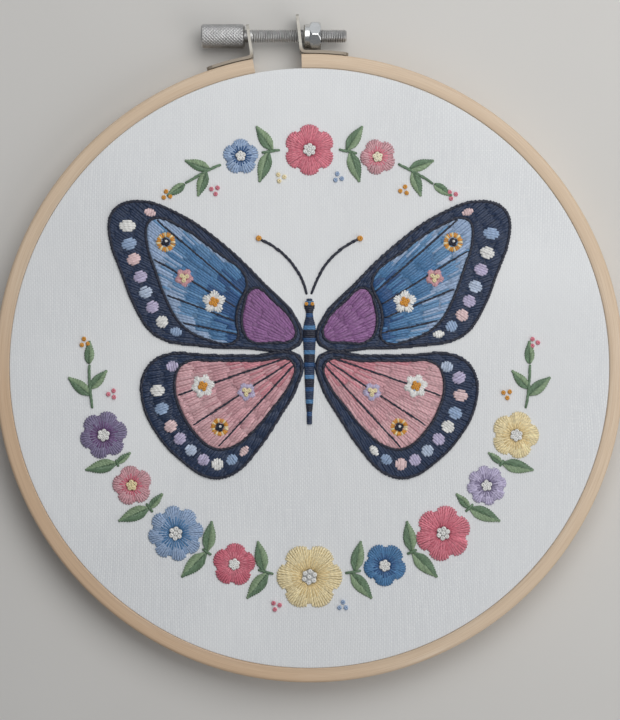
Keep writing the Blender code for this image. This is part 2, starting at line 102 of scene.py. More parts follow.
# Thumbscrew and nut
HEAD_LENGTH = 11.1 * MM
HEAD_CHAMFER = 0.45 * MM
SHANK_RADIUS = 1.7 * MM
PLAIN_SHANK = 1.9 * MM
KNURL_LINES = 22
KNURL_PITCH = 0.85 * MM
KNURL_DEPTH = 0.15 * MM
KNURL_LAND = 0.25
THREAD_PITCH = 0.6 * MM
THREAD_DEPTH = 0.24 * MM
THREAD_SIDES = 28
PLAIN_RADIUS = SHANK_RADIUS - THREAD_DEPTH * 0.3
TIP_CHAMFER = 0.45 * MM
TURNED_STEP = 0.1 * MM
COLLAR_RADIUS = 3.1 * MM
COLLAR_CHAMFER = 0.35 * MM
HEX_START = NUT_LOW.x + 1.5 * MM
HEX_CHAMFER_SLOPE = 0.72
HEX_CORNER_WEAR = 0.985
NUT_SIDES = 120

# The painted shade on the lugs' feet: how far past the wood it goes, and how it fades
FOOT_SHADE_REACH = 1.1 * MM
FOOT_SHADE_FADE = 1.6 * MM

# Colours of wood, cloth, metal, floor and light, as linear light
WOOD_DEEP = (0.72, 0.563, 0.405, 1)
WOOD_LIGHT = (0.78, 0.634, 0.485, 1)
WOOD_FIBRE = (0.64, 0.478, 0.33, 1)
WOOD_STREAK = (0.58, 0.442, 0.315, 1)
# Painted shade on the wood's lower-left side, warmer and darker
WOOD_PAINTED_SHADE = (0.97, 0.90, 0.84, 1)
CLOTH_THREAD = (0.85, 0.87, 0.885, 1)
# Painted shade in the hollows between the threads
CLOTH_HOLLOW_SHADE = (0.70, 0.72, 0.745, 1)
CLOTH_SLUB = (0.735, 0.755, 0.78, 1)
CLOTH_WEFT = (0.86, 0.875, 0.885, 1)
CLOTH_DULL = (0.77, 0.785, 0.80, 1)
# Painted shade on the lugs' feet by the wood, dark and warm like the wood
PLATE_FOOT_SHADE = (0.35, 0.305, 0.25, 1)
FLOOR_DARK = (0.66, 0.65, 0.63, 1)
FLOOR_LIGHT = (0.70, 0.69, 0.67, 1)
WARM_LIGHT = (1.0, 0.985, 0.965)
COOL_LIGHT = (0.96, 0.98, 1.0)
SKY_LIGHT = (0.93, 0.96, 1.0, 1)

# Stitches, in millimetres: BOW is a strand's bend sideways, SUNK how deep its edges lie
STRAND = 0.66
STRAND_HEIGHT = 0.36
ROW = 0.58
DIP = 0.5
DIP_MOST = 0.3
TWIST = 1.15
BOW = 0.035
SUNK = 0.12
SECTION = ((-1.0, 0.0), (-0.84, 0.62), (-0.42, 1.0), (0.0, 0.84), (0.42, 1.0), (0.84, 0.62), (1.0, 0.0))
DIP_SHARES = (0.0, 0.35, 1.0)
DIP_RISES = (-0.2, 0.55, 0.93)
DIP_WIDTHS = (0.5, 0.85, 1.0)
# Painted shade at a strand's ends, where it dips into the cloth, multiplied into its dye
DIP_PAINTED_SHADES = (0.62, 0.88, 1.0)


def thread_colour(red, green, blue):
    """A thread's colour as linear light, from its usual 0 to 255 values."""
    def linear(c):
        c /= 255
        return c / 12.92 if c <= 0.04045 else ((c + 0.055) / 1.055) ** 2.4
    return np.array([linear(c) for c in (red, green, blue)])


INK = thread_colour(30, 35, 54)
NAVY = thread_colour(42, 58, 88)
DEEP_BLUE = thread_colour(48, 88, 138)
BLUE = thread_colour(82, 130, 176)
MID_BLUE = thread_colour(104, 148, 190)
SKY = thread_colour(158, 181, 213)
PALE_BLUE = thread_colour(192, 206, 228)
PLUM = thread_colour(112, 80, 128)
PURPLE = thread_colour(150, 104, 156)
LILAC = thread_colour(196, 188, 218)
DUSTY_PINK = thread_colour(214, 164, 172)
SHELL_PINK = thread_colour(222, 178, 184)
PALE_PINK = thread_colour(234, 206, 208)
ROSE = thread_colour(211, 113, 131)
CORAL = thread_colour(223, 131, 147)
GOLD = thread_colour(226, 158, 62)
STRAW = thread_colour(230, 206, 152)
YELLOW = thread_colour(244, 228, 184)
CREAM = thread_colour(246, 238, 212)
WHITE = thread_colour(240, 240, 238)
PLUM_GREY = thread_colour(138, 129, 162)
GREEN = thread_colour(103, 131, 103)
LEAF = thread_colour(138, 162, 128)


# Materials

class Finish:
    """A Principled material, and short ways to add nodes to it."""

    def __init__(self, name, roughness, metallic=0.0):
        self.material = bpy.data.materials.new(name)
        self.material.use_nodes = True
        self.tree = self.material.node_tree
        self.shader = self.tree.nodes["Principled BSDF"]
        self.set("Roughness", roughness)
        self.set("Metallic", metallic)

    def set(self, socket, value, node=None):
        into = (node or self.shader).inputs[socket]
        if isinstance(value, bpy.types.NodeSocket):
            self.tree.links.new(value, into)
        else:
            into.default_value = value

    def node(self, kind, inputs, output=0, **settings):
        made = self.tree.nodes.new("ShaderNode" + kind)
        for key, value in settings.items():
            setattr(made, key, value)
        for socket, value in inputs.items():
            self.set(socket, value, made)
        return made.outputs[output]

    def math(self, operation, a, b=0.0):
        return self.node("Math", {0: a, 1: b}, operation=operation)

    def line(self, value, slope, start):
        """The value times slope, plus start."""
        return self.node("Math", {0: value, 1: slope, 2: start}, operation="MULTIPLY_ADD")

    def place(self):
        """A point's own coordinates, in metres."""
        return self.node("TexCoord", {}, output=3)

    def from_axis(self, place, height):
        """Distance from the point of the hoop's axis at that height."""
        middle = (float(CENTRE[0]), float(CENTRE[1]), height)
        return self.node("VectorMath", {0: place, 1: middle}, 1, operation="DISTANCE")

    def axes(self, vector):
        made = self.tree.nodes.new("ShaderNodeSeparateXYZ")
        self.set(0, vector, made)
        return made.outputs[0], made.outputs[1], made.outputs[2]

    def scaled(self, vector, x, y, z):
        return self.node("Mapping", {"Vector": vector, "Scale": (x, y, z)}, vector_type="POINT")

    def noise(self, vector, scale, detail=2.0, roughness=0.5):
        inputs = {"Vector": vector, "Scale": scale, "Detail": detail, "Roughness": roughness}
        return self.node("TexNoise", inputs)

    def mix(self, share, a, b, blend="MIX"):
        made = self.tree.nodes.new("ShaderNodeMix")
        made.data_type = "RGBA"
        made.blend_type = blend
        self.set(0, share, made)
        self.set(6, a, made)
        self.set(7, b, made)
        return made.outputs[2]

    def ramp(self, value, low, high):
        """0 to 1 as the value goes from low to high."""
        inputs = {"Value": value, "From Min": low, "From Max": high}
        return self.node("MapRange", inputs)

    def bump(self, height, strength, distance):
        inputs = {"Height": height, "Strength": strength, "Distance": distance}
        self.set("Normal", self.node("Bump", inputs))


def grey(value):
    return (value, value, value, 1.0)


def wood_finish():
    """Pale bare bamboo: fibres along the band, with painted shade, warmer and darker, at the lower left
    and along the bore's edge.
    """
    f = Finish("wood", 0.55)
    grain = f.node("UVMap", {}, uv_map="grain")
    tone = f.noise(f.scaled(grain, 14, 160, 1), 1.0, 3)
    fibre = f.noise(f.scaled(grain, 60, 5200, 1), 1.0, 4, 0.7)
    streak = f.noise(f.scaled(grain, 18, 1300, 1), 1.0, 2)
    shown = f.mix(f.ramp(tone, 0.35, 0.65), WOOD_DEEP, WOOD_LIGHT)
    shown = f.mix(f.ramp(fibre, 0.62, 0.35), shown, WOOD_FIBRE)
    shown = f.mix(f.ramp(streak, 0.62, 0.8), shown, WOOD_STREAK)
    place = f.place()
    x, y, _ = f.axes(place)
    start, end = (float(CENTRE.sum()) - s * HOOP_RADIUS for s in PAINTED_SHADE_STRETCH)
    # Painted shade: warmer and darker towards the lower left
    shown = f.mix(f.ramp(f.math("ADD", x, y), start, end), shown, WOOD_PAINTED_SHADE, "MULTIPLY")
    bore = HOOP_RADIUS - BAND
    # Painted shade along the bore's edge, where the wood meets the cloth
    bore_shade = f.ramp(f.from_axis(place, RING_HIGH.z), bore + BORE_PAINTED_SHADE, bore)
    f.set("Base Color", f.mix(bore_shade, shown, grey(0.87), "MULTIPLY"))
    f.set("Roughness", f.line(fibre, 0.25, 0.4))
    f.bump(fibre, 0.12, 0.08 * MM)
    return f.material


def cloth_finish():
    """Plain weave: threads over and under each other, with uneven warp threads and painted shade in the
    hollows between them.

    Patches, more of them low on the hoop, show the weave more strongly than the rest.
    """
    f = Finish("cloth", 0.92)
    place = f.place()
    x, y, _ = f.axes(place)
    x = f.math("ADD", x, f.math("MULTIPLY", f.noise(place, 22, 1), THREAD_LEAN))
    leaning = f.node("CombineXYZ", {0: x, 1: y})
    turn = math.pi / WEAVE_PITCH
    wave_x = f.math("SINE", f.math("MULTIPLY", x, turn))
    wave_y = f.math("SINE", f.math("MULTIPLY", y, turn))
    over = f.line(f.math("SIGN", f.math("MULTIPLY", wave_x, wave_y)), 0.5, 0.5)
    warp = f.math("MULTIPLY", f.math("ABSOLUTE", wave_x), f.line(over, 0.5, 0.62))
    weft = f.math("MULTIPLY", f.math("ABSOLUTE", wave_y), f.line(over, -0.42, 0.68))
    weave = f.math("MAXIMUM", warp, weft)
    patch = f.ramp(f.math("SUBTRACT", f.noise(place, 17, 2), f.math("MULTIPLY", y, 1.8)), 0.4, 0.62)
    depth = f.line(patch, 0.65, 0.45)
    slub = f.noise(f.scaled(leaning, 2400, 130, 1), 1.0, 3, 0.6)
    weft_slub = f.noise(f.scaled(leaning, 200, 2100, 1), 1.0, 2)
    between = f.math("MULTIPLY", f.ramp(weave, 0.95, 0.25), depth)
    thick = f.math("MULTIPLY", f.ramp(slub, 0.44, 0.6), f.line(patch, 0.8, 0.2))
    # Painted shade in the hollows between the threads
    shown = f.mix(between, CLOTH_THREAD, CLOTH_HOLLOW_SHADE)
    shown = f.mix(thick, shown, CLOTH_SLUB)
    shown = f.mix(f.ramp(weft_slub, 0.6, 0.85), shown, CLOTH_WEFT)
    shown = f.mix(f.ramp(f.noise(place, 26, 3), 0.45, 0.85), shown, CLOTH_DULL)
    f.set("Base Color", shown)
    f.set("Sheen Weight", 0.15)
    f.set("Sheen Roughness", 0.6)
    relief = f.math("MULTIPLY", f.math("ADD", weave, f.math("MULTIPLY", slub, 0.8)), depth)
    f.bump(relief, 0.4, 0.12 * MM)
    return f.material


def thread_finish():
    """Stranded cotton: each strand's own colour with painted shade at its ends, fibre tone, two twisted
    plies with painted shade and highlight along their twist, and a soft lengthwise gloss.
    """
    f = Finish("thread", 0.42)
    # The dye, with painted shade at the strands' ends
    dyed = f.node("Attribute", {}, attribute_name="dye")
    strand = f.node("UVMap", {}, uv_map="strand")
    along, across, _ = f.axes(strand)
    slant = f.math("ADD", f.math("MULTIPLY", along, math.tau / TWIST), f.math("MULTIPLY", across, 5.0))
    ply = f.math("SINE", slant)
    fibre = f.noise(f.scaled(strand, 3.0, 26.0, 1), 1.0, 3, 0.6)
    shade = f.math("ADD", f.math("MULTIPLY", ply, 0.07), f.math("MULTIPLY", fibre, 0.5))
    # Fibre tone at random, with painted shade and highlight along the plies' twist
    ply_shade_and_fibre_tone = f.mix(f.ramp(shade, 0.1, 0.42), grey(0.74), grey(1.12))
    f.set("Base Color", f.mix(1.0, dyed, ply_shade_and_fibre_tone, "MULTIPLY"))
    f.set("Specular IOR Level", 0.45)
    f.set("Sheen Weight", 0.12)
    f.set("Sheen Roughness", 0.4)
    f.bump(f.math("ADD", f.math("MULTIPLY", ply, 0.6), fibre), 0.35, 0.08 * MM)
    return f.material


def metal_finish(name, colour, roughness, wear, metallic=1.0, shaded_to=None):
    """Plated steel with fine scratches and a little tarnish, with painted shade up to a radius of the
    hoop.
    """
    f = Finish(name, roughness, metallic)
    place = f.place()
    scratch = f.noise(f.scaled(place, 260, 5200, 5200), 1.0, 3, 0.7)
    dull = tuple(c * (1 - wear) for c in colour)
    shown = f.mix(f.ramp(f.noise(place, 620, 3), 0.4, 0.7), (*colour, 1), (*dull, 1))
    if shaded_to:
        away = f.from_axis(place, SCREW_AXIS.z)
        # Painted shade on the lugs' feet, up to a little past the wood
        shown = f.mix(f.ramp(away, shaded_to, shaded_to + FOOT_SHADE_FADE), PLATE_FOOT_SHADE, shown)
    f.set("Base Color", shown)
    f.set("Roughness", f.line(scratch, 0.3, roughness - 0.12))
    f.bump(scratch, 0.12, 0.04 * MM)
    return f.material


def floor_finish():
    f = Finish("floor", 0.85)
    cloudy = f.noise(f.place(), 9, 4)
    f.set("Base Color", f.mix(f.ramp(cloudy, 0.3, 0.7), FLOOR_DARK, FLOOR_LIGHT))
    return f.material


WOOD = wood_finish()
WEAVE = cloth_finish()
THREAD = thread_finish()
STEEL = metal_finish("steel", (0.58, 0.58, 0.58), 0.42, 0.2)
PLATE_STEEL = metal_finish("plate_steel", (0.55, 0.53, 0.48), 0.55, 0.1, 0.5, HOOP_RADIUS + FOOT_SHADE_REACH)
BRIGHT_STEEL = metal_finish("nut_steel", (0.74, 0.75, 0.75), 0.22, 0.08)


# Meshes

def grid_faces(rows, columns, wrap_rows=False, wrap_columns=False):
    """Corner numbers of the quads between neighbours in a grid of rows times columns points."""
    r = np.arange(rows if wrap_rows else rows - 1)[:, None]
    c = np.arange(columns if wrap_columns else columns - 1)[None, :]
    next_r, next_c = (r + 1) % rows, (c + 1) % columns
    corners = [r * columns + c, r * columns + next_c, next_r * columns + next_c, next_r * columns + c]
    return np.stack(corners, axis=-1).reshape(-1, 4)


def mesh_object(name, points, faces, material, uvs=(), dye=None, sharp_deg=None, caps=()):
    """A mesh object from arrays: quads by corner numbers, UV maps and dyes by point, extra caps."""
    mesh = bpy.data.meshes.new(name)
    corners = [*map(list, faces), *caps] if len(caps) else faces.tolist()
    mesh.from_pydata(points.reshape(-1, 3), [], corners)
    order = np.zeros(len(mesh.loops), dtype=np.int32)
    mesh.loops.foreach_get("vertex_index", order)
    for uv_name, uv in uvs:
        mesh.uv_layers.new(name=uv_name).data.foreach_set("uv", uv.reshape(-1, 2)[order].ravel())
    if dye is not None:
        # For stitches the dye holds painted shade at the strands' ends too
        layer = mesh.color_attributes.new("dye", "FLOAT_COLOR", "POINT")
        layer.data.foreach_set("color", dye.ravel())
    mesh.validate()
    mesh.shade_smooth()
    if sharp_deg is not None:
        mesh.set_sharp_from_angle(angle=math.radians(sharp_deg))
    made = bpy.data.objects.new(name, mesh)
    bpy.context.scene.collection.objects.link(made)
    mesh.materials.append(material)
    return made


def stands_for(piece, body, slot, *nodes):
    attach(piece, body)
    if nodes:
        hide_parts(*nodes)


def spread(low, high, step):
    """Values from low to high, evenly spaced by about the step."""
    return np.linspace(low, high, max(2, round((high - low) / step) + 1))


# Hoop

def ring_ends():
    """The outer ring's cut, as the angles where its wood starts and ends, anticlockwise."""
    mesh = frame["nodes"]["outer_ring"].data
    spots = np.array([v.co[:2] for v in mesh.vertices]) - CENTRE
    angles = np.sort(np.arctan2(spots[:, 1], spots[:, 0]))
    widest = int(np.argmax(np.diff(angles)))
    return angles[widest + 1], angles[widest] + math.tau


def band_section(inner, outer, low, high, steps=7):
    """(radius, height) points round a band's section, anticlockwise, with rounded edges.

    It starts and ends low in the bore, a hair's breadth apart, where the grain has its seam.
    """
    corners = [
        (inner + BORE_ROUND, low + BORE_ROUND, BORE_ROUND, 180),
        (outer - WOOD_ROUND, low + WOOD_ROUND, WOOD_ROUND, 270),
        (outer - WOOD_ROUND, high - WOOD_ROUND, WOOD_ROUND, 0),
        (inner + BORE_ROUND, high - BORE_ROUND, BORE_ROUND, 90),
    ]
    points = []
    for r, z, rounding, start in corners:
        for a in np.radians(np.linspace(start, start + 90, steps)):
            points.append((r + rounding * math.cos(a), z + rounding * math.sin(a)))
    points.append((inner, low + BORE_ROUND + GRAIN_SEAM))
    return np.array(points)


def wooden_band(name, node, section, start, end):
    """A section swept round the hoop's middle, with the wood's grain running along it."""
    closed = end - start > math.tau - 1e-6
    count = 360
    angles = np.linspace(start, end, count, endpoint=not closed)
    r, z = section[:, 0], section[:, 1]
    points = np.empty((count, len(section), 3))
    points[..., 0] = CENTRE[0] + np.cos(angles)[:, None] * r
    points[..., 1] = CENTRE[1] + np.sin(angles)[:, None] * r
    points[..., 2] = z
    girth = np.cumsum(np.hypot(*np.diff(section, axis=0, prepend=section[:1]).T))
    uv = np.empty((count, len(section), 2))
    uv[..., 0] = (angles * HOOP_RADIUS)[:, None]
    uv[..., 1] = girth
    faces = grid_faces(count, len(section), closed, True)[:, ::-1]
    caps = []
    if not closed:
        last = (count - 1) * len(section)
        caps = [list(range(len(section))), list(range(last, last + len(section)))[::-1]]
    piece = mesh_object(name, points, faces, WOOD, [("grain", uv)], caps=caps, sharp_deg=50)
    stands_for(piece, "hoop", "wood", node)


def hoop():
    start, end = ring_ends()
    outer = band_section(HOOP_RADIUS - BAND, HOOP_RADIUS, RING_LOW.z, RING_HIGH.z)
    wooden_band("outer_ring_wood", "outer_ring", outer, start, end)
    inner = band_section(INNER_RADIUS - BAND, INNER_RADIUS, INNER_LOW.z, INNER_HIGH.z)
    wooden_band("inner_ring_wood", "inner_ring", inner, 0.0, math.tau)


def cloth():
    """The taut sheet as one closed skin: face, rolled rim, skirt and underside."""
    columns = 256
    flat = CLOTH_RADIUS - CLOTH_ROUND
    shoulder = CLOTH_TOP - CLOTH_ROUND
    underside = CLOTH_TOP - CLOTH
    inside = SKIRT_RADIUS - CLOTH
    profile = [(r, CLOTH_TOP) for r in spread(CLOTH_HUB, flat, FACE_STEP)]
    for a in np.radians(np.linspace(90, 0, 7))[1:]:
        profile.append((flat + CLOTH_ROUND * math.cos(a), shoulder + CLOTH_ROUND * math.sin(a)))
    profile += [(CLOTH_RADIUS, z) for z in spread(shoulder, CLOTH_LOW.z, SKIRT_STEP)[1:]]
    profile += [(inside, z) for z in spread(CLOTH_LOW.z, underside, SKIRT_STEP)]
    profile += [(r, underside) for r in spread(inside, CLOTH_HUB, UNDERSIDE_STEP)[1:]]
    profile = np.array(profile)
    angles = np.linspace(0, math.tau, columns, endpoint=False)
    points = np.empty((len(profile), columns, 3))
    points[..., 0] = CENTRE[0] + profile[:, :1] * np.cos(angles)
    points[..., 1] = CENTRE[1] + profile[:, :1] * np.sin(angles)
    points[..., 2] = profile[:, 1:]
    for row, (r, z) in enumerate(profile):
        if z < underside - GAP / 2 or r > flat:
            continue
        ease = min(1.0, (flat - r) / PUCKER_FADE)
        for column, a in enumerate(angles):
            spot = Vector((math.cos(a) * PUCKER_ROUND, math.sin(a) * PUCKER_ROUND, r * PUCKER_OUT))
            points[row, column, 2] += PUCKER * ease * noise.noise(spot)
    faces = grid_faces(len(profile), columns, False, True)
    last = (len(profile) - 1) * columns
    caps = [list(range(columns))[::-1], list(range(last, last + columns))]
    uvs = [("weave", (points[..., :2] - CENTRE) / (2.2 * CLOTH_RADIUS) + 0.5)]
    sheet = mesh_object("cloth_sheet", points, faces, WEAVE, uvs, caps=caps, sharp_deg=60)
    stands_for(sheet, "hoop", "cloth", "cloth")


# Screw fitting

def turned(name, stations, radius_at, sides, material, body, slot, node, bore=None):
    """A shape turned about the screw's axis. radius_at gives its radius at a station and angle."""
    angles = np.linspace(0, math.tau, sides, endpoint=False)
    radii = np.array([[radius_at(x, a) for a in angles] for x in stations])
    if bore:
        stations = np.array([stations[0], *stations, stations[-1]])
        hole = np.full((1, sides), bore)
        radii = np.vstack([hole, radii, hole])
    points = np.empty((len(stations), sides, 3))
    points[..., 0] = stations[:, None]
    points[..., 1] = SCREW_AXIS.y + radii * np.sin(angles)
    points[..., 2] = SCREW_AXIS.z + radii * np.cos(angles)
    faces = grid_faces(len(stations), sides, bool(bore), True)
    last = (len(stations) - 1) * sides
    caps = [] if bore else [list(range(sides))[::-1], list(range(last, last + sides))]
    piece = mesh_object(name, points, faces, material, caps=caps, sharp_deg=32)
    stands_for(piece, body, slot, node)


def groove(turns):
    """1 on a groove's middle line and 0 half-way between two grooves."""
    return abs((turns % 1.0) - 0.5) * 2


def knurled_radius(x, angle):
    """The barrel head's radius: two families of slanting grooves that fade out at its chamfers."""
    outer = (HEAD_HIGH.z - HEAD_LOW.z) / 2
    left = HEAD_LOW.x
    from_end = min(x - left, left + HEAD_LENGTH - x)
    chamfer = max(0.0, HEAD_CHAMFER - from_end)
    around = angle * KNURL_LINES / math.tau
    along = (x - left) / KNURL_PITCH
    cut = max(groove(around + along), groove(around - along))
    deep = KNURL_DEPTH * max(0.0, cut - KNURL_LAND) / (1 - KNURL_LAND)
    return min(outer - deep, outer - chamfer)


def thread_radius(x, angle):
    """The shank's radius, with its thread from a little right of the head to the tip."""
    start = HEAD_LOW.x + HEAD_LENGTH + PLAIN_SHANK
    tip = max(0.0, TIP_CHAMFER - (HEAD_HIGH.x - x))
    if x < start:
        return PLAIN_RADIUS
    cut = groove(x / THREAD_PITCH - angle / math.tau)
    return min(SHANK_RADIUS - THREAD_DEPTH * cut, SHANK_RADIUS - tip)


def nut_radius(x, angle):
    """Collar, then a hexagon with a corner on top and turned chamfers at both its ends."""
    flats = (NUT_HIGH.y - NUT_LOW.y) / 2
    if x < HEX_START:
        return COLLAR_RADIUS - max(0.0, COLLAR_CHAMFER - (x - NUT_LOW.x))
    from_end = min(x - HEX_START, NUT_HIGH.x - x)
    worn_corner = flats / math.cos(math.pi / 6) * HEX_CORNER_WEAR
    turned_edge = flats + from_end * HEX_CHAMFER_SLOPE
    across = (angle + math.pi / 6) % (math.pi / 3) - math.pi / 6
    flat_edge = flats / math.cos(math.pi / 6 - abs(across))
    return min(flat_edge, turned_edge, worn_corner)


def screw_fitting():
    left, right = HEAD_LOW.x, HEAD_LOW.x + HEAD_LENGTH
    turned(
        "thumbscrew_head", spread(left, right, TURNED_STEP), knurled_radius, KNURL_LINES * 8,
        STEEL, "thumbscrew", "steel", "thumbscrew",
    )
    turned(
        "thumbscrew_shank", spread(right - 0.2 * MM, HEAD_HIGH.x, TURNED_STEP), thread_radius,
        THREAD_SIDES, STEEL, "thumbscrew", "steel", "thumbscrew",
    )
    stations = np.concatenate([
        NUT_LOW.x + np.array((0.0, 0.12, 0.25, 0.35)) * MM,
        spread(NUT_LOW.x + 0.6 * MM, HEX_START - 0.01 * MM, 0.4 * MM),
        spread(HEX_START, NUT_HIGH.x, 0.09 * MM),
    ])
    turned(
        "nut_turned", stations, nut_radius, NUT_SIDES, BRIGHT_STEEL, "hoop", "nut_steel", "nut",
        bore=SHANK_RADIUS + GAP,
    )
    for node in ("lug_left", "lug_right", "nail_left", "nail_right"):
        plate = frame["nodes"][node]
        for slot in plate.material_slots:
            slot.material = PLATE_STEEL
        weld = plate.modifiers.new("Weld", "WELD")
        weld.merge_threshold = 0.01 * MM
        edge = plate.modifiers.new("Edge", "BEVEL")
        edge.width = 0.1 * MM
        edge.segments = 2
        edge.limit_method = "ANGLE"
        edge.angle_limit = math.radians(40)


# Stitches

def vary(colour, amount=0.07):
    """The same dye a little lighter or darker, as strands catch it."""
    return colour * (1 + chance.gauss(0, amount))


# Knots, in millimetres
KNOT_TURNS = 1.9
KNOT_RADIUS = 0.44
KNOT_CLOSING = 0.1
KNOT_THREAD = 0.25
KNOT_THREAD_END = 0.08


def knot_shape():
    """A small wound knot as a ring of points, in millimetres, and its faces."""
    stations, sides = 20, 6
    turns = np.linspace(0, KNOT_TURNS, stations)
    ring = KNOT_RADIUS - KNOT_CLOSING * turns
    points = np.empty((stations, sides, 3))
    for i, t in enumerate(turns):
        a = math.tau * t
        middle = np.array((math.cos(a) * ring[i], math.sin(a) * ring[i], 0.2 + 0.16 * t))
        out = np.array((math.cos(a), math.sin(a), 0.0))
        thick = KNOT_THREAD if 0 < i < stations - 1 else KNOT_THREAD_END
        for k in range(sides):
            b = math.tau * k / sides
            points[i, k] = middle + out * math.cos(b) * thick + np.array((0, 0, math.sin(b) * thick))
    return points.reshape(-1, 3), grid_faces(stations, sides, False, True)


KNOT_POINTS, KNOT_FACES = knot_shape()


class Threads:
    """The stitches and knots of one stitched area, gathered and then made into one mesh."""

    def __init__(self):
        self.stitches = []
        self.knots = []

    def stitch(self, start, end, colour, lift=0.0, width=STRAND, root=1.0):
        """One strand. lift raises it over what is under it, and root narrows its start."""
        if math.dist(start, end) > STRAND:
            self.stitches.append((*start, *end, *vary(colour), lift, width, root))

    def ray(self, hub, angle, near, far, colour, lift=0.0, width=STRAND, root=1.0):
        """One strand along the ray from hub at that angle, between two distances."""
        along = towards(angle)
        self.stitch(hub + along * near, hub + along * far, colour, lift, width, root)

    def knot(self, spot, colour, lift=0.0, size=1.0):
        self.knots.append((*spot, *vary(colour, 0.04), lift, size, chance.uniform(0, math.tau)))

    def strands(self):
        rows = np.array(self.stitches)
        start, end, dye = rows[:, 0:2], rows[:, 2:4], rows[:, 4:7]
        lift, width, root = rows[:, 7, None], rows[:, 8, None], rows[:, 9, None]
        draw = np.random.default_rng(len(rows))
        span = end - start
        length = np.hypot(span[:, 0], span[:, 1])[:, None]
        dip = np.minimum(DIP / length, DIP_MOST)
        dips = np.array(DIP_SHARES)
        shares = np.hstack([dip * dips, np.full_like(dip, 0.5), 1 - dip * dips[::-1]])
        rises = np.array((*DIP_RISES, 1.0, *DIP_RISES[::-1]))
        widths = np.array((*DIP_WIDTHS, 1.0, *DIP_WIDTHS[::-1]))
        half = width / 2 * widths * (root + (1 - root) * shares)
        bow = draw.normal(0, BOW, (len(rows), 1)) * 4 * shares * (1 - shares)
        normal = np.stack([-span[:, 1], span[:, 0]], axis=1) / length
        across, high = np.array(SECTION).T
        middle = start[:, None] + span[:, None] * shares[..., None] + normal[:, None] * bow[..., None]
        flat = middle[:, :, None] + normal[:, None, None] * (half[..., None] * across)[..., None]
        crown = STRAND_HEIGHT * width * draw.uniform(0.9, 1.15, (len(rows), 1)) / STRAND
        heights = lift[..., None] + crown[..., None] * high
        up = heights * rises[None, :, None] - SUNK * (high == 0)
        points = np.concatenate([flat, up[..., None]], axis=-1)
        stations, sides = len(rises), len(SECTION)
        u = np.repeat((shares * length)[..., None], sides, axis=2) + draw.uniform(0, 9, (len(rows), 1, 1))
        v = np.broadcast_to(np.linspace(0, 1, sides), u.shape)
        faces = grid_faces(stations, sides)[None] + np.arange(len(rows))[:, None, None] * stations * sides
        # Painted shade at each strand's ends, where it dips into the cloth
        painted_shades = np.repeat((*DIP_PAINTED_SHADES, 1.0, *DIP_PAINTED_SHADES[::-1]), sides)
        dyes = np.repeat(dye, stations * sides, axis=0) * np.tile(painted_shades, len(rows))[:, None]
        uv = np.stack([u, v], axis=-1).reshape(-1, 2)
        return points.reshape(-1, 3), faces.reshape(-1, 4), dyes, uv

    def wound(self):
        points, faces, dyes = [], [], []
        for x, y, red, green, blue, lift, size, turn in self.knots:
            c, s = math.cos(turn) * size, math.sin(turn) * size
            px, py, pz = KNOT_POINTS.T
            points.append(np.stack([x + px * c - py * s, y + px * s + py * c, lift + pz * size], axis=1))
            faces.append(KNOT_FACES + len(faces) * len(KNOT_POINTS))
            dyes.append(np.tile((red, green, blue), (len(KNOT_POINTS), 1)))
        points = np.concatenate(points)
        return points, np.concatenate(faces), np.concatenate(dyes), points[:, :2] * 2

    def make(self, name, slot):
        """One mesh, in the place of the solid of that name where there is one."""
        parts = ([self.strands()] if self.stitches else []) + ([self.wound()] if self.knots else [])
        counts = np.cumsum([0] + [len(p[0]) for p in parts])
        points = np.concatenate([p[0] for p in parts])
        faces = np.concatenate([p[1] + n for p, n in zip(parts, counts)])
        dye = np.concatenate([p[2] for p in parts])
        dye = np.hstack([np.clip(dye, 0, 1), np.ones((len(dye), 1))])
        uv = np.concatenate([p[3] for p in parts])
        flat = points[:, :2]
        low, high = flat.min(axis=0), flat.max(axis=0)
        planned = (flat - low) / (high - low)
        points = points * MM + np.array((*CENTRE, CLOTH_TOP))
        uvs = [("OFBake", planned), ("strand", uv)]
        piece = mesh_object(f"{name}_stitches", points, faces, THREAD, uvs, dye)
        stands_for(piece, "hoop", slot, *([name] if name in frame["nodes"] else []))


def grown(loop, margin):
    """A closed outline moved out by the margin, away from the area on its left."""
    spots = np.array(loop)
    along = np.roll(spots, -1, axis=0) - np.roll(spots, 1, axis=0)
    out = np.stack([along[:, 1], -along[:, 0]], axis=1)
    return spots + out / np.hypot(*out.T)[:, None] * margin


class Area:
    """A flat area inside closed outlines, with holes where outlines lie inside one another."""

    def __init__(self, loops, margin=0.0):
        loops = [grown(loop, margin) for loop in loops]
        self.starts = np.vstack(loops)
        self.ends = np.vstack([np.roll(loop, -1, axis=0) for loop in loops])

    def runs(self, hub, angle):
        """(near, far) distances from hub between which a ray at that angle is inside."""
        along = np.array((math.cos(angle), math.sin(angle)))
        a, b = self.starts - hub, self.ends - hub
        side_a = along[0] * a[:, 1] - along[1] * a[:, 0]
        side_b = along[0] * b[:, 1] - along[1] * b[:, 0]
        crosses = (side_a > 0) != (side_b > 0)
        share = side_a[crosses] / (side_a[crosses] - side_b[crosses])
        hits = (a[crosses] + (b[crosses] - a[crosses]) * share[:, None]) @ along
        hits = sorted(hits[hits > 0])
        if len(hits) % 2:
            hits.insert(0, 0.0)
        return list(zip(hits[::2], hits[1::2]))

    def reach(self, hub):
        """Least and greatest angle and distance of the area as seen from a hub outside it."""
        seen = self.starts - hub
        middle = seen.mean(axis=0)
        facing = math.atan2(middle[1], middle[0])
        angles = (np.arctan2(seen[:, 1], seen[:, 0]) - facing + math.pi) % math.tau - math.pi
        far = np.hypot(seen[:, 0], seen[:, 1])
        return facing + angles.min(), facing + angles.max(), far.min(), far.max()


